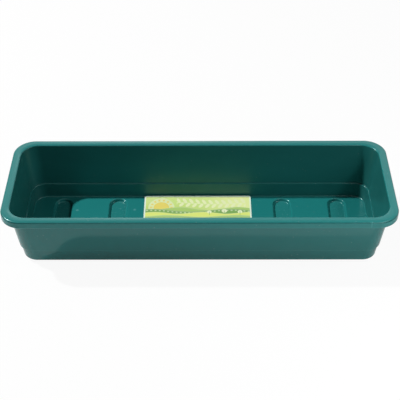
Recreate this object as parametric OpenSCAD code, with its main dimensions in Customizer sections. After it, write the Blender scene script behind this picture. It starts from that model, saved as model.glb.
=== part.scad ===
// A long, narrow garden tray: one moulded plastic tray with a printed label lying on its floor.
// The origin is under the middle of the tray, on the plane that its feet stand on.
// X runs along the tray, Y runs from its front to its back, and Z points up.

/* [Rim] */
// Length of the tray over its rim
rim_length = 560; // [400:5:760]
// Width of the tray over its rim
rim_width = 190; // [150:1:280]
// Height of the rim's crown above the plane of the feet
tray_height = 98; // [76:1:130]
// Width of the rim, from its outer edge to the inside of the wall
rim_flange = 12; // [10:0.5:16]
// Depth of the turned-down lip, from the rim's outer edge to the lip's lower edge
lip_depth = 10.6; // [8:0.2:15]
// Rise of the rim's level middle above its two edges
rim_crown = 0.4; // [0.2:0.1:0.8]
// Radius of the rim's outer corners, seen from above
rim_corner_r = 31; // [24:0.5:42]
// Radius of the rounding along the rim's outer edge
rim_outer_round = 2.5; // [1.5:0.1:4]
// Radius of the rounding along the rim's inner edge
rim_inner_round = 2; // [1:0.1:3]

/* [Wall] */
// Thickness of the rim, the lip and the walls
wall_t = 2.5; // [1.8:0.1:3.2]
// Slope of the walls away from upright, in degrees
wall_draft = 6.9; // [4:0.1:9]
// Share of its inset from the rim's edge that a corner loses in radius
corner_shrink_share = 0.47; // [0.3:0.01:0.6]
// Width of the small ledge low on the walls
ledge_width = 1.8; // [1.2:0.1:3]
// Height of the ledge above the floor of the tray
ledge_height = 23; // [15:0.5:32]

/* [Base] */
// Thickness of the floor, also in its channels
floor_t = 3; // [2:0.1:4]
// Radius of the rounding where the floor meets the walls, inside
floor_round = 1.8; // [1:0.1:3]
// Radius of the rounding along the lower outer edge of the walls
base_round = 4; // [2.5:0.1:5]

/* [Channels] */
// Number of channels across the floor
channel_count = 6; // [2:1:7]
// Width of a channel at the floor
channel_width = 26.5; // [20:0.5:34]
// Depth of a channel below the floor, which is also the height of the foot under it
channel_depth = 4.5; // [3:0.1:6]
// Distance from the floor's short edge to the middle of the nearest channel
channel_inset = 44.7; // [34:0.1:60]
// Distance from the floor's long edge to the end of a channel
channel_gap = 6.2; // [5:0.1:20]
// Slope of the channels' sides away from upright, in degrees
channel_draft = 16; // [8:1:24]
// Radius of the rounding along a channel's upper edge
channel_top_round = 1.6; // [1:0.1:2]
// Radius of the rounding along a channel's bottom, and along the foot under it
channel_low_round = 1.8; // [1:0.1:2.4]

/* [Label] */
// Length of the label along the tray
label_length = 165; // [120:1:210]
// Width of the label across the tray
label_width = 62; // [50:1:100]
// Thickness of the label
label_t = 0.3; // [0.2:0.05:0.6]
// Radius of the label's corners
label_corner_r = 3.5; // [2:0.5:8]
// Distance from the middle of the tray to the middle of the label, towards the left
label_shift = 3.5; // [0:0.5:30]
// Gap, seen from above, between the label's back edge and the rounding at the floor's edge
label_gap = 0.9; // [0.1:0.1:5]
// Height by which the label's back edge has curled up off the floor
label_lift = 2.6; // [0:0.2:6]
// Width of the strip along the label's back edge that curls up
label_lift_width = 16; // [12:1:40]

/* [Hidden] */

tray_color = [0.11, 0.42, 0.41];
label_color = [0.78, 0.86, 0.5];

// Flat steps in each quarter turn of a corner, and in each rounding of a section
corner_steps = 8;
round_steps = 3;
// Flat steps in the strip of the label that curls up
curl_steps = 8;
full_turn = 360;
right_angle = 90;

// Share of the rim's width that is level, in its middle
crown_flat_share = 0.3;
// Small roundings, as shares of the wall or ledge that carries them
lip_round_share = 0.32;
groove_round_share = 0.3;
ledge_round_share = 0.42;
// Share of a foot's height by which it is sunk into the floor above it
foot_sink_share = 0.3;
// Share of the floor's rounding that the seam of the base plate keeps clear of it
seam_share = 0.3;
// How far a cut runs on past the face that it opens
cut_overrun = 1;

// Heights of the main levels
base_z = channel_depth;
floor_z = base_z + floor_t;
ledge_z = floor_z + ledge_height;
rim_edge_z = tray_height - rim_crown;
rim_under_z = rim_edge_z - wall_t;
lip_z = rim_edge_z - lip_depth;

// Inset of the upper wall's inner face from the rim's outer edge, at a given height
function wall_inset(z) = rim_flange + (rim_edge_z - z) * tan(wall_draft);
// The same for the lower wall, below the ledge
function low_wall_inset(z) = wall_inset(z) + ledge_width;

// Length that a rounding takes from the edge it rounds, between a drafted wall and a level face
function rounding_reach(r, draft) = r * tan((right_angle - draft) / 2);

// The floor's edge, and the seam between the ring of walls and the base plate
floor_inset = low_wall_inset(floor_z);
base_reach = low_wall_inset(base_z) - wall_t + rounding_reach(base_round, wall_draft);
floor_reach = floor_inset + rounding_reach(floor_round, wall_draft);
seam_inset = max(base_reach, floor_reach) + floor_round * seam_share;
floor_half_length = rim_length / 2 - floor_inset;
floor_half_width = rim_width / 2 - floor_inset;

channel_pitch = 2 * (floor_half_length - channel_inset) / (channel_count - 1);
channel_half_width = channel_width / 2;
channel_half_length = floor_half_width - channel_gap;
channel_floor_z = floor_z - channel_depth;

function unit(v) = v / norm(v);

// Points of the arc of radius r that rounds the corner b between its neighbours a and c
function rounded_corner(a, b, c, r) =
    r == 0 ? [b] :
    let (
        u = unit(a - b),
        v = unit(c - b),
        half_angle = acos(u * v) / 2,
        centre = b + unit(u + v) * r / sin(half_angle),
        start = b + u * r / tan(half_angle) - centre,
        end = b + v * r / tan(half_angle) - centre,
        start_angle = atan2(start.y, start.x),
        turn = atan2(end.y, end.x) - start_angle,
        sweep = turn > full_turn / 2 ? turn - full_turn :
            turn < -full_turn / 2 ? turn + full_turn : turn
    )
    [for (step = [0:round_steps])
        let (angle = start_angle + sweep * step / round_steps)
        centre + r * [cos(angle), sin(angle)]];

// A closed outline from corners given as [x, y, rounding]
function rounded_outline(corners) =
    let (last = len(corners) - 1)
    [for (i = [0:last])
        let (
            before = corners[i == 0 ? last : i - 1],
            here = corners[i],
            after = corners[i == last ? 0 : i + 1]
        )
        each rounded_corner([before.x, before.y], [here.x, here.y], [after.x, after.y], here.z)];

// Points round a rectangle with rounded corners, counterclockwise seen from above
function rounded_rectangle(half_length, half_width, r) =
    [for (quarter = [0:3], step = [0:corner_steps])
        let (
            angle = right_angle * (quarter + step / corner_steps),
            middle = right_angle * quarter + right_angle / 2,
            centre_x = (half_length - r) * sign(cos(middle)),
            centre_y = (half_width - r) * sign(sin(middle))
        )
        [centre_x + r * cos(angle), centre_y + r * sin(angle)]];

// The tray's outline at an inset from the rim's outer edge
function tray_outline(inset) =
    rounded_rectangle(
        rim_length / 2 - inset,
        rim_width / 2 - inset,
        rim_corner_r - corner_shrink_share * inset
    );

// Section through the wall and rim as [inset, height], from the floor up and over the rim
wall_section = rounded_outline([
    [seam_inset, floor_z, 0],
    [floor_inset, floor_z, floor_round],
    [low_wall_inset(ledge_z), ledge_z, ledge_width * ledge_round_share],
    [wall_inset(ledge_z), ledge_z, ledge_width * ledge_round_share],
    [rim_flange, rim_edge_z, rim_inner_round],
    [rim_flange * (1 + crown_flat_share) / 2, tray_height, 0],
    [rim_flange * (1 - crown_flat_share) / 2, tray_height, 0],
    [0, rim_edge_z, rim_outer_round],
    [0, lip_z, wall_t * lip_round_share],
    [wall_t, lip_z, wall_t * lip_round_share],
    [wall_t, rim_under_z, wall_t * groove_round_share],
    [wall_inset(rim_under_z) - wall_t, rim_under_z, wall_t * groove_round_share],
    [wall_inset(ledge_z - wall_t) - wall_t, ledge_z - wall_t, ledge_width * ledge_round_share],
    [low_wall_inset(ledge_z - wall_t) - wall_t, ledge_z - wall_t, ledge_width * ledge_round_share],
    [low_wall_inset(base_z) - wall_t, base_z, base_round],
    [seam_inset, base_z, 0]
]);

// The section carried round the tray, as one closed ring of flat faces
module wall_ring() {
    rows = len(wall_section);
    columns = len(tray_outline(0));
    points = [for (corner = wall_section, spot = tray_outline(corner.x)) [spot.x, spot.y, corner.y]];
    faces = [for (i = [0:rows - 1], j = [0:columns - 1])
        let (
            next_i = (i + 1) % rows,
            next_j = (j + 1) % columns
        )
        [i * columns + j, i * columns + next_j, next_i * columns + next_j, next_i * columns + j]];
    polyhedron(points = points, faces = faces);
}

// Half of a channel's section as [distance from its middle, height], open above the floor
function channel_section() =
    let (
        low_half = channel_half_width - channel_depth * tan(channel_draft),
        low = [low_half, channel_floor_z],
        high = [channel_half_width, floor_z],
        level = [channel_width, 0],
        top = rounded_corner(low, high, high + level, channel_top_round)
    )
    concat(
        [[0, floor_z + cut_overrun], [0, channel_floor_z]],
        rounded_corner([0, channel_floor_z], low, high, channel_low_round),
        top,
        [[top[round_steps].x, floor_z + cut_overrun]]
    );

// Half of a foot's section, one floor thickness outside the channel and sunk into the floor
function foot_section() =
    let (
        side = floor_t / cos(channel_draft),
        low_half = channel_half_width - floor_z * tan(channel_draft) + side,
        high_half = channel_half_width - floor_t * tan(channel_draft) + side,
        sunk_z = base_z + floor_t * foot_sink_share
    )
    concat(
        [[0, sunk_z], [0, 0]],
        rounded_corner([0, 0], [low_half, 0], [high_half, base_z], channel_low_round),
        [[high_half, base_z], [high_half, sunk_z]]
    );

// A half section run along Y between two round ends
module round_ended(half_section, half_length) {
    straight = half_length - channel_half_width;
    mirrored = [for (i = [len(half_section) - 1:-1:2]) [-half_section[i].x, half_section[i].y]];
    rotate([right_angle, 0, 0])
        linear_extrude(2 * straight, center = true)
            polygon(concat(mirrored, [for (i = [1:len(half_section) - 1]) half_section[i]]));
    for (end = [0, 1])
        rotate([0, 0, end * full_turn / 2])
            translate([0, straight, 0])
                rotate_extrude(angle = full_turn / 2)
                    polygon(half_section);
}

module at_each_channel() {
    for (i = [0:channel_count - 1])
        translate([(i - (channel_count - 1) / 2) * channel_pitch, 0, 0])
            children();
}

// The floor with its channels and the feet that they form underneath
module base() {
    difference() {
        union() {
            translate([0, 0, base_z])
                linear_extrude(floor_t)
                    polygon(tray_outline(seam_inset));
            at_each_channel()
                round_ended(foot_section(), channel_half_length);
        }
        at_each_channel()
            round_ended(channel_section(), channel_half_length);
    }
}

module tray() {
    color(tray_color) {
        wall_ring();
        base();
    }
}

// Height of the label's underside at a distance from its back edge
function label_z(distance) = floor_z + label_lift * pow(max(0, 1 - distance / label_lift_width), 2);

// The label's section as [distance forward from its back edge, height], run on past both edges
label_underside = concat(
    [[label_width + cut_overrun, floor_z]],
    [for (step = [curl_steps:-1:-1])
        let (distance = label_lift_width * step / curl_steps)
        [distance, label_z(distance)]]
);

// The printed label, on the floor but for a strip along its back edge that curls up
module label() {
    back_edge = rim_width / 2 - floor_reach - label_gap;
    under = [for (spot = label_underside) [-spot.x, spot.y]];
    over = [for (i = [len(under) - 1:-1:0]) under[i] + [0, label_t]];
    color(label_color)
        translate([-label_shift, back_edge, 0])
            intersection() {
                rotate([right_angle, 0, right_angle])
                    linear_extrude(label_length + 2 * cut_overrun, center = true)
                        polygon(concat(under, over));
                translate([0, -label_width / 2, floor_z - cut_overrun])
                    linear_extrude(label_lift + label_t + 2 * cut_overrun)
                        polygon(rounded_rectangle(label_length / 2, label_width / 2, label_corner_r));
            }
}

tray();
label();
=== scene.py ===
import math

import bmesh
import bpy
import numpy as np
from mathutils import Matrix, Vector
from mathutils.geometry import tessellate_polygon


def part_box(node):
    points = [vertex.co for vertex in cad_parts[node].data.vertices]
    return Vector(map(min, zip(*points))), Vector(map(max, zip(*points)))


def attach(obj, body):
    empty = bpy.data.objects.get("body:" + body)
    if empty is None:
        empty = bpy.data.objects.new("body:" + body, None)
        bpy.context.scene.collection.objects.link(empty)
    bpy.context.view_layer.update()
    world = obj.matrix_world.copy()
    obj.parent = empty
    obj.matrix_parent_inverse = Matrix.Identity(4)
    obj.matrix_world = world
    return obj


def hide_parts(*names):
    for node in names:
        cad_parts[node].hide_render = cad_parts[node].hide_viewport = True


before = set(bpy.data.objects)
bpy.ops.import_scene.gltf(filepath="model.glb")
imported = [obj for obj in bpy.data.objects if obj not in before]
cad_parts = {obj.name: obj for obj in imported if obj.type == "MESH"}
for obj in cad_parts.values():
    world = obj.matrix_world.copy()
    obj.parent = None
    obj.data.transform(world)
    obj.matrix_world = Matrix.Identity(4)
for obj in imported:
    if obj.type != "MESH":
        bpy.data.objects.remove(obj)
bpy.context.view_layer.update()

# Sizes in metres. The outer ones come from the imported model, and the rest are those that it was drawn with
tray_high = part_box("tray")[1]
label_low, label_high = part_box("label")
HALF_LENGTH, HALF_WIDTH, TRAY_HEIGHT = tray_high.x, tray_high.y, tray_high.z

RIM_FLANGE = 0.012          # the rim's width, from its outer edge to the wall
RIM_CROWN = 0.0004          # how far the rim's middle stands above its edges
RIM_CORNER_R = 0.031        # seen from above
RIM_OUTER_ROUND = 0.0025
RIM_INNER_ROUND = 0.002
CROWN_ROUND = 0.02
LIP_DEPTH = 0.0106          # how far the lip turns down from the rim's edge

WALL_T = 0.0025
WALL_SLOPE = math.radians(6.9)
CORNER_SHRINK_SHARE = 0.47  # how much the corners' radius loses for each unit of inset
LEDGE_WIDTH = 0.0018
LEDGE_HEIGHT = 0.023        # above the floor
FLOOR_T = 0.003
FLOOR_ROUND = 0.0023
BASE_ROUND = 0.004
SEAM_GAP = 0.0025           # between the floor's edge and the seam where the flat fill begins

CHANNEL_COUNT = 6
CHANNEL_HALF_WIDTH = 0.01325
CHANNEL_DEPTH = 0.0045
CHANNEL_INSET = 0.0447      # from the floor's end to the middle of the first channel
CHANNEL_GAP = 0.0062        # from the floor's long edge to a channel's round end
CHANNEL_SLOPE = math.radians(16)
CHANNEL_TOP_ROUND = 0.0024
CHANNEL_LOW_ROUND = 0.0018
CHANNEL_MARGIN = 0.0022     # the strip of floor round a channel that belongs to its own grid
CHANNEL_FILL_SHARE = 0.6    # the share of the half width that the flat fill of its bottom takes

LABEL_T = 0.0003
LABEL_CORNER_R = 0.0035
LABEL_BORDER = 0.0022
LABEL_CURL_WIDTH = 0.016
LABEL_DIP = 0.0003          # over the middle of a channel
LABEL_RIPPLE = 0.00005

BASE_Z = CHANNEL_DEPTH
FLOOR_Z = BASE_Z + FLOOR_T
LEDGE_Z = FLOOR_Z + LEDGE_HEIGHT
RIM_EDGE_Z = TRAY_HEIGHT - RIM_CROWN
RIM_UNDER_Z = RIM_EDGE_Z - WALL_T
LIP_Z = RIM_EDGE_Z - LIP_DEPTH

# A painted shade line below the rim's outer rounding, a darker green where shade falls under the bead: the height of
# its middle and half its width
UNDER_BEAD_Z = RIM_EDGE_Z - 0.0011
UNDER_BEAD_REACH = 0.001


def wall_inset(z):
    """Inset of the upper wall's inner face at a height: it grows downwards by the tangent of the slope."""
    return RIM_FLANGE + (RIM_EDGE_Z - z) * math.tan(WALL_SLOPE)


def low_wall_inset(z):
    """The same below the ledge."""
    return wall_inset(z) + LEDGE_WIDTH


FLOOR_INSET = low_wall_inset(FLOOR_Z)
SEAM_INSET = FLOOR_INSET + SEAM_GAP
CHANNEL_PITCH = 2 * (HALF_LENGTH - FLOOR_INSET - CHANNEL_INSET) / (CHANNEL_COUNT - 1)
CHANNEL_SPINE = HALF_WIDTH - FLOOR_INSET - CHANNEL_GAP - CHANNEL_HALF_WIDTH


# Shapes

def unit(vectors):
    """Each row divided by its length."""
    return vectors / np.linalg.norm(vectors, axis=-1, keepdims=True)


def rounded_section(corners, steps=7, margin=0.00008):
    """A line through corners given as [across, height, radius, wear and painted highlight], with each corner
    rounded.
    The arc's centre lies on the corner's bisector, at the radius over the sine of half the angle, and the arc turns
    from one side's touching point to the other's. A point a margin beyond each end keeps the sides flat in shading.
    Returns the points and the wear and painted highlight at each."""
    corners = np.asarray(corners, float)
    here, radius, wear_and_highlight = corners[:, :2], corners[:, 2], corners[:, 3]
    back, ahead = unit(np.roll(here, 1, 0) - here), unit(np.roll(here, -1, 0) - here)
    half_angle = np.arccos(np.clip((back * ahead).sum(1), -1, 1)) / 2
    reach = (radius / np.tan(half_angle))[:, None]
    centre = here + unit(back + ahead) * (radius / np.sin(half_angle))[:, None]
    start, end = here + back * reach - centre, here + ahead * reach - centre
    start_angle = np.arctan2(start[:, 1], start[:, 0])
    turn = (np.arctan2(end[:, 1], end[:, 0]) - start_angle + np.pi) % (2 * np.pi) - np.pi
    angle = start_angle[:, None] + turn[:, None] * np.linspace(0, 1, steps + 1)
    arc = centre[:, None] + radius[:, None, None] * np.stack([np.cos(angle), np.sin(angle)], -1)
    points = np.concatenate([(here + back * (reach + margin))[:, None], arc,
                             (here + ahead * (reach + margin))[:, None]], 1)
    place = np.arange(steps + 3)
    kept = (radius > 0)[:, None] | (place == 1)
    worn = wear_and_highlight[:, None] * ((place > 0) & (place < steps + 2))
    return points[kept], worn[kept]


def joined_arcs(arcs, shares):
    """Loops of arcs joined by straight sides, with a point on each side at every share of it."""
    share = np.asarray(shares)[:, None]
    sides = arcs[:, :, -1:] * (1 - share) + np.roll(arcs[:, :, :1], -1, 1) * share
    return np.concatenate([arcs, sides], 2).reshape(len(arcs), -1, 2)


def tray_outlines(inset, corner_steps=22):
    """The tray's outline, seen from above, at each inset from the rim's outer edge: four quarter circles whose
    radius shrinks with the inset, joined by straight sides. Returns an array of inset by place by [x, y]."""
    radius = (RIM_CORNER_R - CORNER_SHRINK_SHARE * inset)[:, None, None]
    signs = np.array([[1, 1], [-1, 1], [-1, -1], [1, -1]])
    half = np.stack([HALF_LENGTH - inset, HALF_WIDTH - inset], -1)[:, None]
    middle = ((half - radius) * signs)[:, :, None]
    angle = np.pi / 2 * (np.arange(4)[:, None] + np.linspace(0, 1, corner_steps + 1))
    arcs = middle + radius[..., None] * np.stack([np.cos(angle), np.sin(angle)], -1)
    return joined_arcs(arcs, [0.002, *np.linspace(0.1, 0.9, 9), 0.998])


def channel_outlines(middle_x, reach, end_steps=30):
    """The outline at each reach from a straight spine across the tray: half circles round the spine's two ends,
    joined by straight sides. Returns an array of reach by place by [x, y]."""
    angle = np.pi * (np.arange(2)[:, None] + np.linspace(0, 1, end_steps + 1))
    middle = np.array([[middle_x, CHANNEL_SPINE], [middle_x, -CHANNEL_SPINE]])[:, None]
    arcs = middle + reach[:, None, None, None] * np.stack([np.cos(angle), np.sin(angle)], -1)
    return joined_arcs(arcs, [0.005, 0.25, 0.5, 0.75, 0.995])


class Shell:
    """Points and faces gathered from grids and flat fills that share their points, so that the seams are closed.
    Each point has a wear and painted highlight value (edge), 1 on the tray's inside (inner), and a share of the
    painted shade line below the rim."""

    def __init__(self):
        self.points, self.faces, self.count = [], [], 0
        self.kept = {"edge": [], "inner": [], "under_bead": []}

    def ring(self, outlines, heights, **values):
        """A grid whose rows are closed loops, each at its own height and with its own values of the attributes,
        which are 0 where none is given. Returns the first and the last row's numbers."""
        rows, columns = outlines.shape[:2]
        z = np.broadcast_to(heights[:, None, None], (rows, columns, 1))
        self.points.append(np.concatenate([outlines, z], 2).reshape(-1, 3))
        for attribute, gathered in self.kept.items():
            gathered.append(np.repeat(values.get(attribute, np.zeros(rows)), columns))
        number = self.count + np.arange(rows * columns).reshape(rows, columns)
        beside = np.roll(number, -1, 1)
        quads = np.stack([number[:-1], beside[:-1], beside[1:], number[1:]], -1)
        self.faces += quads.reshape(-1, 4).tolist()
        self.count += rows * columns
        return number[0], number[-1]

    def fill(self, loops):
        """A flat face between an outer loop and the loops inside it, cut into triangles."""
        points = np.concatenate(self.points)
        numbers = np.concatenate(loops)
        corners = [[Vector(p) for p in points[loop].tolist()] for loop in loops]
        self.faces += numbers[np.array(tessellate_polygon(corners))].tolist()

    def piece(self, name):
        """The mesh object, with its faces turned outwards, and the gathered values kept as attributes."""
        mesh = bpy.data.meshes.new(name)
        mesh.from_pydata(np.concatenate(self.points).tolist(), [], self.faces)
        for attribute, gathered in self.kept.items():
            mesh.attributes.new(attribute, "FLOAT", "POINT").data.foreach_set("value", np.concatenate(gathered))
        return finished(mesh)


def finished(mesh, sharp=math.radians(32)):
    """An object of a closed mesh: faces point outwards and are shaded smooth, and true edges stay sharp."""
    shell = bmesh.new()
    shell.from_mesh(mesh)
    bmesh.ops.recalc_face_normals(shell, faces=shell.faces)
    shell.to_mesh(mesh)
    shell.free()
    mesh.shade_smooth()
    mesh.set_sharp_from_angle(angle=sharp)
    made = bpy.data.objects.new(mesh.name, mesh)
    bpy.context.scene.collection.objects.link(made)
    return made


def moulded_tray():
    """One closed shell: the section through wall and rim carried round the outline, the flat floor and underside
    inside its seam, and in them the channels with the feet that they form underneath."""
    thin = 0.4 * WALL_T
    ledge, hollow = 0.6 * LEDGE_WIDTH, 0.35 * LEDGE_WIDTH
    ledge_under_z = LEDGE_Z - WALL_T
    section, wear_and_highlight = rounded_section([
        [SEAM_INSET, FLOOR_Z, 0, 0],
        [FLOOR_INSET, FLOOR_Z, FLOOR_ROUND, 0.3],
        [low_wall_inset(LEDGE_Z), LEDGE_Z, ledge, 0.8],
        [wall_inset(LEDGE_Z), LEDGE_Z, hollow, 0.3],
        [RIM_FLANGE, RIM_EDGE_Z, RIM_INNER_ROUND, 0.4],
        [RIM_FLANGE * 0.65, TRAY_HEIGHT, CROWN_ROUND, 0.2],
        [RIM_FLANGE * 0.35, TRAY_HEIGHT, CROWN_ROUND, 0.2],
        [0, RIM_EDGE_Z, RIM_OUTER_ROUND, 0.4],
        [0, LIP_Z, thin, 1],
        [WALL_T, LIP_Z, thin, 0.6],
        [WALL_T, RIM_UNDER_Z, thin, 0],
        [wall_inset(RIM_UNDER_Z) - WALL_T, RIM_UNDER_Z, thin, 0],
        [wall_inset(ledge_under_z) - WALL_T, ledge_under_z, ledge, 1],
        [low_wall_inset(ledge_under_z) - WALL_T, ledge_under_z, hollow, 0],
        [low_wall_inset(BASE_Z) - WALL_T, BASE_Z, BASE_ROUND, 0.6],
        [SEAM_INSET, BASE_Z, 0, 0],
    ])
    inset, z = section.T
    inner = np.cumsum(z > RIM_EDGE_Z - RIM_INNER_ROUND / 2) == 0
    under_bead = np.clip(1 - np.abs(z - UNDER_BEAD_Z) / UNDER_BEAD_REACH, 0, 1) * (inset < RIM_OUTER_ROUND)
    shell = Shell()
    floor_edge, base_edge = shell.ring(tray_outlines(inset), z, edge=wear_and_highlight, inner=inner.astype(float),
                                       under_bead=under_bead)

    slope = math.tan(CHANNEL_SLOPE)
    side = FLOOR_T / math.cos(CHANNEL_SLOPE)
    channel_z = FLOOR_Z - CHANNEL_DEPTH
    fill_edge = CHANNEL_HALF_WIDTH * CHANNEL_FILL_SHARE
    channel, channel_wear_and_highlight = rounded_section([
        [CHANNEL_HALF_WIDTH + CHANNEL_MARGIN, FLOOR_Z, 0, 0],
        [CHANNEL_HALF_WIDTH, FLOOR_Z, CHANNEL_TOP_ROUND, 0.6],
        [CHANNEL_HALF_WIDTH - CHANNEL_DEPTH * slope, channel_z, CHANNEL_LOW_ROUND, 0],
        [fill_edge, channel_z, 0, 0],
    ])
    foot, foot_wear_and_highlight = rounded_section([
        [CHANNEL_HALF_WIDTH - FLOOR_T * slope + side, BASE_Z, 0, 0],
        [CHANNEL_HALF_WIDTH - FLOOR_Z * slope + side, 0, CHANNEL_LOW_ROUND, 1],
        [fill_edge, 0, 0, 0.8],
    ])
    floor_holes, base_holes = [], []
    for place in range(CHANNEL_COUNT):
        middle_x = (place - (CHANNEL_COUNT - 1) / 2) * CHANNEL_PITCH
        top, bottom = shell.ring(channel_outlines(middle_x, channel[:, 0]), channel[:, 1], edge=channel_wear_and_highlight,
                                 inner=np.ones(len(channel)))
        shell.fill([bottom])
        floor_holes.append(top)
        top, bottom = shell.ring(channel_outlines(middle_x, foot[:, 0]), foot[:, 1], edge=foot_wear_and_highlight)
        shell.fill([bottom])
        base_holes.append(top)
    shell.fill([floor_edge, *floor_holes])
    shell.fill([base_edge, *base_holes])
    return shell.piece("moulded_tray")


def printed_label():
    """A thin film on a grid of two shares, along and across. Near the two long edges each row is shortened to the
    quarter circles of the corners. The film lies on the floor with a slight ripple, the product of two sines, and
    dips a little over the channels that it crosses, by the square of a sine. The strip along its back edge curls
    up by the square of the share of the strip's width."""
    middle, half = (label_low + label_high) / 2, (label_high - label_low) / 2
    lift = label_high.z - label_low.z - LABEL_T
    straight = half.y - LABEL_CORNER_R
    bend = np.sin(np.linspace(0, np.pi / 2, 9)) * LABEL_CORNER_R
    across = np.concatenate([-half.y + LABEL_CORNER_R - bend[::-1], np.linspace(-1, 1, 41)[1:-1] * straight,
                             straight + bend])
    along = np.linspace(-1, 1, 121)
    past = np.clip(np.abs(across) - straight, 0, LABEL_CORNER_R)
    row_half = half.x - LABEL_CORNER_R + np.sqrt(np.maximum(LABEL_CORNER_R ** 2 - past ** 2, 0))
    x = middle.x + along * row_half[:, None]
    y = middle.y + across[:, None] + 0 * x

    nearest = (np.round(x / CHANNEL_PITCH - 0.5) + 0.5) * CHANNEL_PITCH
    over = np.clip(1 - np.abs(x - nearest) / CHANNEL_HALF_WIDTH, 0, 1)
    within = np.clip((CHANNEL_SPINE + CHANNEL_HALF_WIDTH - np.abs(y)) / CHANNEL_HALF_WIDTH, 0, 1)
    dip = LABEL_DIP * np.sin(over * np.pi / 2) ** 2 * within
    curl = np.clip(1 - (label_high.y - y) / LABEL_CURL_WIDTH, 0, 1) ** 2
    ripple = LABEL_RIPPLE * (1 + np.sin(x * 95 + 1.3) * np.cos(y * 61 + x * 18)) * (1 - curl)
    top = FLOOR_Z + LABEL_T - dip * (1 - curl) + lift * curl + ripple

    rows, columns = x.shape
    points = np.concatenate([np.stack([x, y, z], -1).reshape(-1, 3) for z in (top, top - LABEL_T)])
    number = np.arange(rows * columns).reshape(rows, columns)
    quads = np.stack([number[:-1, :-1], number[:-1, 1:], number[1:, 1:], number[1:, :-1]], -1).reshape(-1, 4)
    edge = np.concatenate([number[0], number[1:, -1], number[-1, -2::-1], number[-2:0:-1, 0]])
    ahead = np.roll(edge, -1)
    under = rows * columns
    walls = np.stack([edge, edge + under, ahead + under, ahead], -1)
    mesh = bpy.data.meshes.new("printed_label")
    mesh.from_pydata(points.tolist(), [], np.concatenate([quads, quads + under, walls]).tolist())
    return finished(mesh)


# Nodes

class Field:
    """A number that changes over a surface. Sums and products of fields add Math nodes to their tree."""

    def __init__(self, tree, socket):
        self.tree, self.socket = tree, socket

    def calc(self, operation, *others):
        """The result of a Math node on this field and the others, which may be numbers."""
        made = self.tree.nodes.new("ShaderNodeMath")
        made.operation = operation
        for socket, value in zip(made.inputs, (self, *others)):
            plug(socket, value)
        return Field(self.tree, made.outputs[0])

    def __add__(self, other):
        return self.calc("ADD", other)

    def __sub__(self, other):
        return self.calc("SUBTRACT", other)

    def __mul__(self, other):
        return self.calc("MULTIPLY", other)

    def __truediv__(self, other):
        return self.calc("DIVIDE", other)

    __radd__, __rmul__ = __add__, __mul__

    def unsigned(self):
        """The field without its sign."""
        return self.calc("ABSOLUTE")

    def step(self, low, high):
        """0 below low and 1 above high, or the other way round, with a smooth change between."""
        made = add(self.tree, "ShaderNodeMapRange", {"Value": self, "From Min": low, "From Max": high},
                   interpolation_type="SMOOTHSTEP")
        return Field(self.tree, made.outputs["Result"])


def plug(socket, value):
    """Sets a socket to a value, or links another socket or a field to it."""
    if isinstance(value, Field):
        value = value.socket
    if isinstance(value, bpy.types.NodeSocket):
        socket.id_data.links.new(value, socket)
    else:
        socket.default_value = value


def add(tree, kind, inputs, **settings):
    """Adds a node with the given settings and inputs."""
    made = tree.nodes.new(kind)
    for name, value in settings.items():
        setattr(made, name, value)
    for name, value in inputs.items():
        plug(made.inputs[name], value)
    return made


def noise(tree, vector, scale, detail=2.0, roughness=0.5):
    """Noise between 0 and 1, around a half."""
    made = add(tree, "ShaderNodeTexNoise", {"Vector": vector, "Scale": scale, "Detail": detail,
                                            "Roughness": roughness})
    return Field(tree, made.outputs["Fac"])


def mixed(tree, share, first, second):
    """The colour a share of the way from the first to the second. A colour is a socket, or red, green and blue."""
    made = tree.nodes.new("ShaderNodeMix")
    made.data_type = "RGBA"
    plug(made.inputs["Factor"], share)
    for socket, value in ((made.inputs[6], first), (made.inputs[7], second)):
        plug(socket, (*value, 1) if isinstance(value, tuple) else value)
    return made.outputs[2]


def parts_of(tree, vector):
    """The x, y and z of a vector, as fields."""
    made = add(tree, "ShaderNodeSeparateXYZ", {"Vector": vector})
    return [Field(tree, socket) for socket in made.outputs]


def distance(across, along):
    """The length of the vector of two fields: the root of the sum of their squares."""
    return (across * across + along * along).calc("SQRT")


def group(name, inputs, outputs, build):
    """A node group with float inputs, but for its Vector, and float outputs that build works out."""
    tree = bpy.data.node_groups.new(name, "ShaderNodeTree")
    for label, value in inputs.items():
        kind = "NodeSocketVector" if label == "Vector" else "NodeSocketFloat"
        socket = tree.interface.new_socket(label, in_out="INPUT", socket_type=kind)
        if value is not None:
            socket.default_value = value
    for label in outputs:
        tree.interface.new_socket(label, in_out="OUTPUT", socket_type="NodeSocketFloat")
    entry, end = tree.nodes.new("NodeGroupInput"), tree.nodes.new("NodeGroupOutput")
    fields = {label: Field(tree, entry.outputs[label]) for label in inputs}
    for label, value in build(tree, fields).items():
        plug(end.inputs[label], value)
    return tree


def use(tree, made_group, output, **values):
    """Places a group in a material. Returns one of its outputs as a field."""
    made = add(tree, "ShaderNodeGroup", values, node_tree=made_group)
    return Field(tree, made.outputs[output])


def build_grain(tree, given):
    """Height of a moulded skin: fine pebbles on a slower orange peel."""
    fine = noise(tree, given["Vector"], given["Scale"], 3.0, 0.6)
    slow = noise(tree, given["Vector"], given["Scale"] * 0.09, 1.0)
    return {"Height": (fine + slow * 3.0) * given["Depth"]}


def build_scuffs(tree, given):
    """Fine scratches in two slanting directions, thinned out by patches: long thin cells of noise, near a half."""
    total = None
    for turn, stretch in ((0.5, (1, 26, 8)), (-0.35, (22, 1, 8))):
        placed = add(tree, "ShaderNodeMapping", {"Vector": given["Vector"], "Rotation": (0.1, 0.2, turn),
                                                 "Scale": stretch}).outputs[0]
        line = (noise(tree, placed, given["Scale"], 0.0) - 0.5).unsigned().step(0.012, 0.002)
        total = line if total is None else total.calc("MAXIMUM", line)
    patches = noise(tree, given["Vector"], given["Scale"] * 1.7, 2.0).step(0.5, 0.62)
    return {"Mask": total * patches * given["Amount"]}


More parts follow.
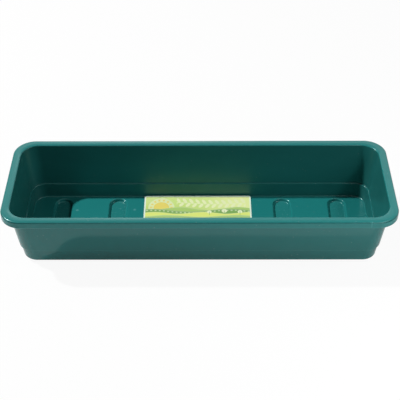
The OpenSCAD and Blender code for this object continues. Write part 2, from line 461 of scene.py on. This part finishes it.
def build_dust(tree, given):
    """Small specks: a dot in some of the cells of a point pattern, of differing sizes."""
    cells = add(tree, "ShaderNodeTexVoronoi", {"Vector": given["Vector"], "Scale": given["Scale"]})
    pick = Field(tree, add(tree, "ShaderNodeSeparateColor", {"Color": cells.outputs["Color"]}).outputs[0])
    dot = Field(tree, cells.outputs["Distance"]).calc("LESS_THAN", pick * 0.14)
    return {"Mask": dot * pick.calc("GREATER_THAN", given["Threshold"])}


def build_wear(tree, given):
    """Rubbed places on an edge: the edge's own strength, broken up by noise."""
    broken = noise(tree, given["Vector"], given["Scale"], 4.0, 0.65).step(0.42, 0.62)
    return {"Mask": given["Edge"] * broken * given["Amount"]}


GRAIN = group("moulded_grain", {"Vector": None, "Scale": 900.0, "Depth": 0.00001}, ["Height"], build_grain)
SCUFFS = group("fine_scuffs", {"Vector": None, "Scale": 9.0, "Amount": 1.0}, ["Mask"], build_scuffs)
DUST = group("dust_specks", {"Vector": None, "Scale": 260.0, "Threshold": 0.93}, ["Mask"], build_dust)
WEAR = group("edge_wear", {"Vector": None, "Edge": 0.0, "Scale": 140.0, "Amount": 1.0}, ["Mask"], build_wear)


def new_material(name):
    """A material with its Principled shader and the piece's own coordinates."""
    made = bpy.data.materials.new(name)
    made.use_nodes = True
    tree = made.node_tree
    shader = tree.nodes["Principled BSDF"]
    return made, tree, shader, tree.nodes.new("ShaderNodeTexCoord").outputs["Object"]


def relief(tree, height):
    """A normal bent by a height in metres."""
    return add(tree, "ShaderNodeBump", {"Height": height, "Distance": 1.0, "Strength": 1.0}).outputs["Normal"]


# The tray's plastic

# The walls' greens are a darker, shaded copy of the rim and floor's green: painted shade. The paler greens of the
# roundings, outer edges, seam mark, pins' dots and pits are painted highlights, and the darkest, under the rim's
# bead, is painted shade.
GREEN = {
    "wall": (0.0130, 0.128, 0.122),
    "wall_streak": (0.0150, 0.143, 0.137),
    "wall_cloud": (0.0120, 0.122, 0.117),
    "lit_rim_and_floor": (0.0125, 0.202, 0.196),
    "rounding": (0.0250, 0.260, 0.250),
    "outer_edge_highlight": (0.09, 0.33, 0.31),
    "under_bead": (0.005, 0.085, 0.083),
    "seam": (0.05, 0.30, 0.29),
    "pin_glint": (0.09, 0.34, 0.34),
    "channel": (0.022, 0.206, 0.198),
    "pit_glint": (0.04, 0.30, 0.29),
    "rubbed": (0.035, 0.24, 0.23),
    "scuff": (0.06, 0.24, 0.23),
    "dust": (0.3, 0.36, 0.33),
}

# Marks of the mould on the floor: the middle's x and y, the ring's radius, and 1 where it has a dot in its middle
MOULD_MARKS = ((-0.1886, 0.0371, 0.0026, 1), (-0.1004, 0.038, 0.0026, 1), (-0.1572, 0.0489, 0.005, 0))
RING_HEIGHT, DOT_HEIGHT = 0.00005, 0.00025

# The mould's short seam mark on the front of the lip: a low ridge, with a painted highlight in its paler colour
SEAM_MARK_X, SEAM_MARK_HEIGHT = 0.2388, 0.0001

# Heights of the pits in the channels, of fine scratches and of the slow waves of the skin
PIT_HEIGHT, SCUFF_HEIGHT, WAVE_HEIGHT = 0.00015, -0.000003, 0.00006


def mould_marks(tree, x, y):
    """Low rings with a dot in some of them, where the pins pushed the tray out: their height, and the paler dots, a
    painted glint.
    """
    heights, dots = None, None
    for middle_x, middle_y, radius, dotted in MOULD_MARKS:
        away = distance(x - middle_x, y - middle_y)
        ring = (away - radius).unsigned().step(0.0006, 0.0002) * RING_HEIGHT
        height = ring + away.step(0.0013, 0.0006) * (DOT_HEIGHT * dotted)
        dot = away.step(0.003, 0.001) * dotted
        heights, dots = (height, dot) if heights is None else (heights + height, dots + dot)
    return heights, dots


def tray_plastic():
    """Green moulded plastic: a satin gloss, faint flow streaks in the colour, rubbed edges and the mould's marks,
    with painted light: lit and shaded copies of the green, painted highlights on edges, marks and pits, and a
    painted shade line under the rim.
    """
    made, tree, shader, place = new_material("tray_plastic")
    x, y, z = parts_of(tree, place)
    edge, inner, under_bead = (
        Field(tree, add(tree, "ShaderNodeAttribute", {}, attribute_name=name).outputs["Fac"])
        for name in ("edge", "inner", "under_bead"))
    outer = inner * -1.0 + 1.0
    grain = use(tree, GRAIN, "Height", Vector=place, Scale=1400.0, Depth=0.000003)
    scuffs = use(tree, SCUFFS, "Mask", Vector=place, Scale=9.0, Amount=1.0)
    dust = use(tree, DUST, "Mask", Vector=place, Scale=240.0, Threshold=0.94)
    worn = use(tree, WEAR, "Mask", Vector=place, Edge=edge, Scale=120.0, Amount=1.0)

    # The bottoms of the channels are a little greyer and smoother than the floor, with small rougher pits, whose
    # paler colour is a painted glint
    in_channel = z.step(FLOOR_Z - 0.0035, FLOOR_Z - 0.0042) * z.step(0.0022, 0.0028)
    pits = noise(tree, place, 420.0, 2.0).step(0.6, 0.7) * in_channel

    on_floor = z.step(FLOOR_Z - 0.0005, FLOOR_Z - 0.0001) * z.step(FLOOR_Z + 0.0005, FLOOR_Z + 0.0001)
    marks, pins = mould_marks(tree, x, y)
    on_front = y.step(0.0025 - HALF_WIDTH, 0.0015 - HALF_WIDTH) * z.step(LIP_Z, LIP_Z + 0.001)
    seam_mark = (x - SEAM_MARK_X).unsigned().step(0.0009, 0.0003) * on_front

    # Painted light: the rim, the lip's outside and the floor are lit copies of the green, brighter than the walls,
    # whose darker green is painted shade
    on_flat_floor = z.step(FLOOR_Z + 0.0005, FLOOR_Z + 0.0001) * y.unsigned().step(
        HALF_WIDTH - FLOOR_INSET, HALF_WIDTH - FLOOR_INSET - 0.001)
    painted_light = (inner * on_flat_floor).calc("MAXIMUM", outer * (z.step(LIP_Z - 0.004, LIP_Z) * 0.5 + 0.35))
    painted_light = painted_light.calc("MAXIMUM", z.step(RIM_EDGE_Z - 0.002, RIM_EDGE_Z - 0.0005) * 0.85)

    streaks = add(tree, "ShaderNodeMapping", {"Vector": place, "Scale": (3.0, 9.0, 9.0)}).outputs[0]
    flow = noise(tree, streaks, 2.2, 4.0, 0.6)
    cloud = noise(tree, place, 14.0, 3.0)
    colour = mixed(tree, flow.step(0.3, 0.7), GREEN["wall"], GREEN["wall_streak"])
    for share, over in (
        (cloud.step(0.35, 0.75) * 0.35, "wall_cloud"),
        # painted light: the lit copy of the green on the rim, the lip and the floor
        (painted_light, "lit_rim_and_floor"),
        # painted highlight along the roundings, by their wear and highlight value
        (edge * 0.3, "rounding"),
        # painted highlight on the outside's sharper edges
        (outer * edge.step(0.6, 1.0) * 0.3, "outer_edge_highlight"),
        # painted shade under the rim's bead
        (under_bead * 0.95, "under_bead"),
        # painted highlight on the seam mark
        (seam_mark * 0.6, "seam"),
        # painted glint on the pins' dots
        (pins * on_floor * 0.75, "pin_glint"),
        (in_channel * 0.5, "channel"),
        # painted glints in the channels' pits
        (pits * 0.3, "pit_glint"),
        (worn * 0.22, "rubbed"),
        (scuffs * 0.04, "scuff"),
        (dust * 0.35, "dust"),
    ):
        colour = mixed(tree, share, colour, GREEN[over])
    plug(shader.inputs["Base Color"], colour)

    rough = cloud * 0.05 + 0.09 + inner * (edge * -0.28 + 0.18)
    rough = rough + z.step(RIM_UNDER_Z, RIM_EDGE_Z) * edge * 0.3 + worn * 0.1 + scuffs * 0.08
    rough = rough + dust * 0.3 + pits * 0.12 - in_channel * 0.08
    plug(shader.inputs["Roughness"], rough)

    waves = noise(tree, place, 22.0, 0.0) * WAVE_HEIGHT
    height = grain * (edge * -0.7 + 1.0) + waves + marks * on_floor + seam_mark * SEAM_MARK_HEIGHT
    height = height + pits * PIT_HEIGHT + scuffs * SCUFF_HEIGHT
    plug(shader.inputs["Normal"], relief(tree, height))
    shader.inputs["IOR"].default_value = 1.5
    shader.inputs["Specular Tint"].default_value = (0.72, 1, 0.98, 1)
    return made


# The label's print. Across is measured from the label's middle, and down from its back edge

PRINT = {
    "ground": (0.74, 0.92, 0.31),
    "ground_front": (0.60, 0.79, 0.21),
    "patch": (0.84, 0.95, 0.46),
    "mist": (0.93, 1.0, 0.44),
    "disc": (0.90, 0.97, 0.62),
    "sun": (0.93, 0.78, 0.18),
    "crest": (0.80, 0.90, 0.58),
    "bush": (0.74, 0.86, 0.56),
    "crown": (0.93, 1.0, 0.66),
    "trunk": (0.36, 0.58, 0.20),
    "leaf": (0.93, 1.0, 0.58),
    "ink_dot": (0.2, 0.3, 0.05),
    "border": (0.86, 1.0, 0.86),
    "dust": (0.4, 0.4, 0.3),
}

SUN_ACROSS, SUN_DOWN, SUN_RAYS = -0.056, 0.0245, 14.0

# Hills from the back to the front: down, rise, pace and shift of the crest's sine, the colour, and 1 for bushes
HILLS = (
    (0.0275, 0.0035, 70.0, 0.4, (0.48, 0.70, 0.20), 0),
    (0.0315, 0.0030, 52.0, 2.1, (0.24, 0.46, 0.13), 1),
    (0.0375, 0.0020, 85.0, 4.0, (0.84, 0.93, 0.24), 0),
    (0.0450, 0.0022, 61.0, 1.2, (0.48, 0.70, 0.24), 0),
)
BUSH_SPACING, BUSH_DEPTH, BUSH_HALF_WIDTH, BUSH_HALF_HEIGHT = 0.0065, 0.0032, 0.0017, 0.0013

# Round trees: across and down of the crown's middle, and its radius
TREES = ((0.018, 0.0355, 0.0034), (0.041, 0.0330, 0.0042), (0.065, 0.0350, 0.0037))

# The garland's stem, a sine, and its leaves, which lean by the angle of this cosine and sine
STEM_DOWN, STEM_WAVE, STEM_PACE, STEM_SHIFT = 0.0145, 0.0025, 38.0, 0.6
LEAF_SPACING, LEAF_RISE, LEAF_HALF_WIDTH, LEAF_HALF_LENGTH = 0.01, 0.0048, 0.0025, 0.0052
LEAF_COSINE, LEAF_SINE = 0.82, 0.57

# Heights of the print against the plain border, and of the film's scratches
PRINT_HEIGHT, LABEL_SCUFF_HEIGHT = -0.000012, -0.000004


def sun_over(tree, colour, across, down):
    """A sun in a pale disc: a circle, and round it a ring cut into short rays by the cosine of the angle."""
    sun_x, sun_y = across - SUN_ACROSS, down - SUN_DOWN
    away = distance(sun_x, sun_y)
    colour = mixed(tree, away.step(0.0205, 0.0200) * 0.75, colour, PRINT["disc"])
    rays = (sun_y.calc("ARCTAN2", sun_x) * SUN_RAYS).calc("COSINE").step(0.0, 0.4)
    rays = rays * away.step(0.0136, 0.0139) * away.step(0.0178, 0.0175)
    return mixed(tree, away.step(0.0122, 0.0118).calc("MAXIMUM", rays), colour, PRINT["sun"])


def hills_over(tree, colour, across, down):
    """Everything below a sine is a hill with a pale crest. The second hill has a row of bushes, which are ovals."""
    for base, rise, pace, shift, tone, bushes in HILLS:
        past = down - (across * pace + shift).calc("SINE") * rise - base
        colour = mixed(tree, past.step(-0.0002, 0.0002), colour, tone)
        colour = mixed(tree, (past - 0.0006).unsigned().step(0.0006, 0.0003) * 0.5, colour, PRINT["crest"])
        if bushes:
            bush_x = (across + 0.003).calc("FLOORED_MODULO", BUSH_SPACING) - BUSH_SPACING / 2
            bush = (bush_x / BUSH_HALF_WIDTH).calc("POWER", 2) + (
                (past - BUSH_DEPTH) / BUSH_HALF_HEIGHT).calc("POWER", 2)
            colour = mixed(tree, bush.step(1.1, 0.9) * 0.85, colour, PRINT["bush"])
    return colour


def trees_over(tree, colour, across, down):
    """Round trees in front of the hills, each a pale crown with a darker line for its trunk."""
    for tree_x, tree_down, radius in TREES:
        off_x, off_y = across - tree_x, down - tree_down
        crown = distance(off_x, off_y).step(radius + 0.0002, radius - 0.0002)
        colour = mixed(tree, crown, colour, PRINT["crown"])
        trunk = off_x.unsigned().step(0.0006, 0.0003) * off_y.step(-0.0008, -0.0004) * off_y.step(0.0076, 0.0072)
        colour = mixed(tree, trunk, colour, PRINT["trunk"])
    return colour


def garland_over(tree, colour, across, down):
    """A stem along a sine, with slanting ovals above and below it, in turn, for leaves."""
    fall = down - ((across * STEM_PACE + STEM_SHIFT).calc("SINE") * STEM_WAVE + STEM_DOWN)
    leaves = fall.unsigned().step(0.0008, 0.0005)
    for shift, side in ((0.0, 1.0), (LEAF_SPACING / 2, -1.0)):
        local = (across + shift).calc("FLOORED_MODULO", LEAF_SPACING) - LEAF_SPACING / 2
        up = fall * side - LEAF_RISE
        turned_x = local * LEAF_COSINE + up * LEAF_SINE
        turned_y = up * LEAF_COSINE - local * LEAF_SINE
        oval = (turned_x / LEAF_HALF_WIDTH).calc("POWER", 2) + (turned_y / LEAF_HALF_LENGTH).calc("POWER", 2)
        leaves = leaves.calc("MAXIMUM", oval.step(1.08, 0.92))
    spread = across.step(-0.0325, -0.032) * across.step(0.0745, 0.074)
    return mixed(tree, leaves * spread, colour, PRINT["leaf"])


def label_film():
    """Printed film: a white border round yellow-greens, with a sun, hills, round trees and a garland of leaves."""
    made, tree, shader, place = new_material("label_film")
    middle, half = (label_low + label_high) / 2, (label_high - label_low) / 2
    x, y, _ = parts_of(tree, place)
    across, along = x - middle.x, y - middle.y
    down = along * -1.0 + half.y

    # Depth inside the edge of a rectangle with rounded corners
    past_x = (across.unsigned() - (half.x - LABEL_CORNER_R)).calc("MAXIMUM", 0.0)
    past_y = (along.unsigned() - (half.y - LABEL_CORNER_R)).calc("MAXIMUM", 0.0)
    inside = distance(past_x, past_y) * -1.0 + LABEL_CORNER_R
    printed = inside.step(LABEL_BORDER - 0.0002, LABEL_BORDER + 0.0002)

    # The ground is paler towards the back edge, in soft patches, and towards the right end, as in a morning mist
    colour = mixed(tree, (down - across * 0.12).step(0.045, 0.0), PRINT["ground_front"], PRINT["ground"])
    soft = noise(tree, place, 30.0, 2.0)
    colour = mixed(tree, soft.step(0.4, 0.8) * 0.35, colour, PRINT["patch"])
    colour = mixed(tree, across.step(0.005, 0.055) * 0.8, colour, PRINT["mist"])
    for motif_over in (sun_over, hills_over, trees_over, garland_over):
        colour = motif_over(tree, colour, across, down)

    dots = add(tree, "ShaderNodeTexVoronoi", {"Vector": place, "Scale": 2600.0}, distance="EUCLIDEAN")
    ink = Field(tree, dots.outputs["Distance"]).step(0.25, 0.75)
    colour = mixed(tree, ink * 0.05, colour, PRINT["ink_dot"])
    colour = mixed(tree, printed, PRINT["border"], colour)
    dust = use(tree, DUST, "Mask", Vector=place, Scale=300.0, Threshold=0.95)
    scuffs = use(tree, SCUFFS, "Mask", Vector=place, Scale=14.0, Amount=1.0)
    colour = mixed(tree, dust * 0.3, colour, PRINT["dust"])
    plug(shader.inputs["Base Color"], colour)

    cloud = noise(tree, place, 25.0, 2.0)
    plug(shader.inputs["Roughness"], cloud * 0.1 + 0.33 + scuffs * 0.15 + dust * 0.2)
    fibres = use(tree, GRAIN, "Height", Vector=place, Scale=2200.0, Depth=0.0000015)
    plug(shader.inputs["Normal"], relief(tree, fibres + printed * PRINT_HEIGHT + scuffs * LABEL_SCUFF_HEIGHT))
    return made


# The table, the camera and the lights

TABLE_REACH = 5.0
TABLE_Z = -0.0001           # a tenth of a millimetre under the feet, so that no faces share a plane
TABLE_WHITE_SEEN, TABLE_WHITE_MIRRORED = 0.93, 0.3     # shares of plain white in the table

CAMERA_AZIMUTH, CAMERA_ELEVATION, CAMERA_ROLL = math.radians(0.428), math.radians(40.132), math.radians(-0.366)
CAMERA_TARGET, CAMERA_DISTANCE = (0.00053, 0, 0.0589), 1.49675
FOCAL_PX, PICTURE_PX, SENSOR_MM = 1013.081, 400, 36

# Lamps: name, place, the point each is aimed at, size and level
LAMPS = (
    ("key_lamp", (-1.927, 0.503, 2.198), (-0.268, 0.083, 0.098), 0.1, 3.37),
    ("upper_right_lamp", (0.64, -0.2, 0.68), (0.15, 0, 0.05), 0.12, 0.72),
    ("front_right_lamp", (0.4, -0.44, 0.28), (0.12, 0, 0.05), 0.25, 0.72),
)


def pale_floor():
    """A pale matt table. The camera sees it mixed with plain white, so that the background stays white and the
    object's shadow faint. Mirrored rays see a smaller share of that white."""
    made, tree, shader, place = new_material("pale_floor")
    speckle = noise(tree, place, 600.0, 2.0)
    plug(shader.inputs["Base Color"], mixed(tree, speckle.step(0.3, 0.7), (0.89, 0.89, 0.89), (0.93, 0.93, 0.93)))
    shader.inputs["Roughness"].default_value = 0.8
    shader.inputs["Specular IOR Level"].default_value = 0.1
    white = add(tree, "ShaderNodeEmission", {"Color": (1, 1, 1, 1), "Strength": 1.0}).outputs[0]
    path = tree.nodes.new("ShaderNodeLightPath")
    mirrored = Field(tree, path.outputs["Is Glossy Ray"]).calc("MAXIMUM", path.outputs["Is Transmission Ray"])
    seen = Field(tree, path.outputs["Is Camera Ray"])
    share = mirrored * TABLE_WHITE_MIRRORED + seen * TABLE_WHITE_SEEN
    blend = add(tree, "ShaderNodeMixShader", {"Fac": share})
    plug(blend.inputs[1], shader.outputs[0])
    plug(blend.inputs[2], white)
    plug(tree.nodes["Material Output"].inputs["Surface"], blend.outputs[0])
    return made


def table_top():
    """A flat square, far larger than the view."""
    reach = np.array([-TABLE_REACH, TABLE_REACH])
    x, y = np.meshgrid(reach, reach)
    mesh = bpy.data.meshes.new("table_top")
    mesh.from_pydata(np.stack([x, y, 0 * x + TABLE_Z], -1).reshape(-1, 3).tolist(), [], [(0, 1, 3, 2)])
    made = bpy.data.objects.new("table_top", mesh)
    bpy.context.scene.collection.objects.link(made)
    made.data.materials.append(pale_floor())


def photo_camera():
    """Looks at the target from a distance along a direction given by azimuth and elevation, turned by a small roll.
    The focal length over the picture's width, both in pixels, is the lens over the sensor."""
    target = Vector(CAMERA_TARGET)
    back = Vector((math.sin(CAMERA_AZIMUTH) * math.cos(CAMERA_ELEVATION),
                   -math.cos(CAMERA_AZIMUTH) * math.cos(CAMERA_ELEVATION), math.sin(CAMERA_ELEVATION)))
    right = (-back).cross(Vector((0, 0, 1))).normalized()
    up = right.cross(-back)
    turned_right = right * math.cos(CAMERA_ROLL) + up * math.sin(CAMERA_ROLL)
    turned_up = up * math.cos(CAMERA_ROLL) - right * math.sin(CAMERA_ROLL)
    data = bpy.data.cameras.new("photo_camera")
    data.sensor_width, data.lens = SENSOR_MM, FOCAL_PX / PICTURE_PX * SENSOR_MM
    data.clip_start, data.clip_end = 0.05, 30
    made = bpy.data.objects.new("photo_camera", data)
    made.matrix_world = Matrix.Translation(target + back * CAMERA_DISTANCE) @ Matrix(
        (turned_right, turned_up, back)).transposed().to_4x4()
    bpy.context.scene.collection.objects.link(made)
    bpy.context.scene.camera = made


def soft_lamp(name, place, aim, size, level):
    """A round area lamp. Its power gives the stated level of light, in watts a square metre, at the point that it
    is aimed at: pi times the distance squared times the level."""
    place, aim = Vector(place), Vector(aim)
    data = bpy.data.lights.new(name, "AREA")
    data.shape, data.size = "DISK", size
    data.energy = math.pi * (place - aim).length_squared * level
    made = bpy.data.objects.new(name, data)
    made.rotation_mode = "QUATERNION"
    made.rotation_quaternion = (place - aim).to_track_quat("Z", "Y")
    made.location = place
    bpy.context.scene.collection.objects.link(made)


def studio_surroundings():
    """Pale surroundings: soft light from halfway up on the right and behind, a little from low on the front right,
    and none from the left and the front, where the camera stands. Mirrored rays see them paler: brightest
    behind the tray, about 35 to 40 degrees up, a third dimmer below that, dim above and to the sides, and brighter
    again overhead, with a narrow upright window a little left of the middle. The camera sees plain white."""
    world = bpy.data.worlds.new("studio_surroundings")
    bpy.context.scene.world = world
    world.use_nodes = True
    tree = world.node_tree
    sheet = tree.nodes["Background"]
    sheet.inputs["Color"].default_value = (1, 1, 1, 1)
    direction = tree.nodes.new("ShaderNodeTexCoord").outputs["Generated"]
    x, y, z = parts_of(tree, direction)
    path = tree.nodes.new("ShaderNodeLightPath")

    halfway_up = z.step(0.42, 0.58) * z.step(0.93, 0.8)
    right_and_behind = (x * 0.5 + y * 0.87).step(-0.1, 0.1)
    front_right = (x * 0.5 - y * 0.87).step(0.7, 0.9)
    level = halfway_up * right_and_behind * 0.47
    level = level + front_right * z.step(0.5, 0.35) * 0.15

    behind = y.step(-0.5, 0.2) * x.step(-0.6, -0.25) * (z.step(0.74, 0.6) + z.step(0.6, 0.5) * -0.4 + 0.15)
    window = x.step(-0.2, -0.07) * x.step(0.04, -0.05) * z.step(0.66, 0.6)
    overhead = z.step(0.85, 0.96)
    mirrored = behind + window * 1.3 + overhead * 0.4 + 0.1
    level = level + (mirrored - level).calc("MAXIMUM", 0.0) * path.outputs["Is Glossy Ray"]
    plain = Field(tree, path.outputs["Is Camera Ray"]).calc("MAXIMUM", path.outputs["Is Transmission Ray"])
    plug(sheet.inputs["Strength"], level + (level * -1.0 + 1.0) * plain)


tray = moulded_tray()
tray.data.materials.append(tray_plastic())
label = printed_label()
label.data.materials.append(label_film())
for piece, node, slot in ((tray, "tray", "tray_plastic"), (label, "label", "label_film")):
    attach(piece, "root")
    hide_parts(node)

table_top()
photo_camera()
for lamp in LAMPS:
    soft_lamp(*lamp)
studio_surroundings()
bpy.context.scene.view_settings.view_transform = "Standard"
